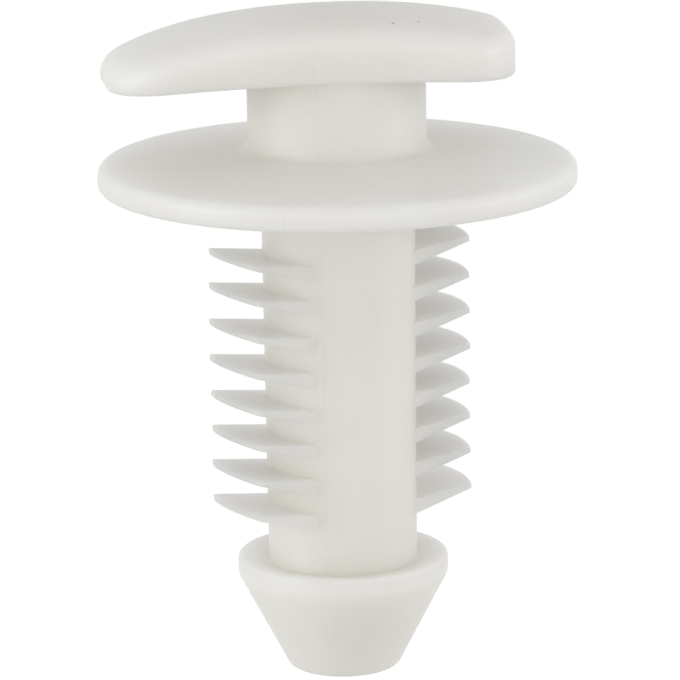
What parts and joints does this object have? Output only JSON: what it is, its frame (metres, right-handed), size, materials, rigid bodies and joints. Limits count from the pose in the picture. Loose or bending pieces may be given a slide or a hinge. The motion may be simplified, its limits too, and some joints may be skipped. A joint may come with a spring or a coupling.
{
  "type": "car trim clip",
  "caption": "Push-in trim clip in pale nylon: long domed head, round sealing flange, finned stem with a barbed point.",
  "frame": {"origin": "centre of the flange's underside, on the stem's axis, where the clip seats on the panel", "axes": "+Z along the stem towards the head, +X along the head towards its short end"},
  "size_m": [0.019, 0.019, 0.027],
  "materials": {
    "nylon": "satin"
  },
  "bodies": {
    "root": {"trim_clip": "nylon"}
  },
  "joints": []
}
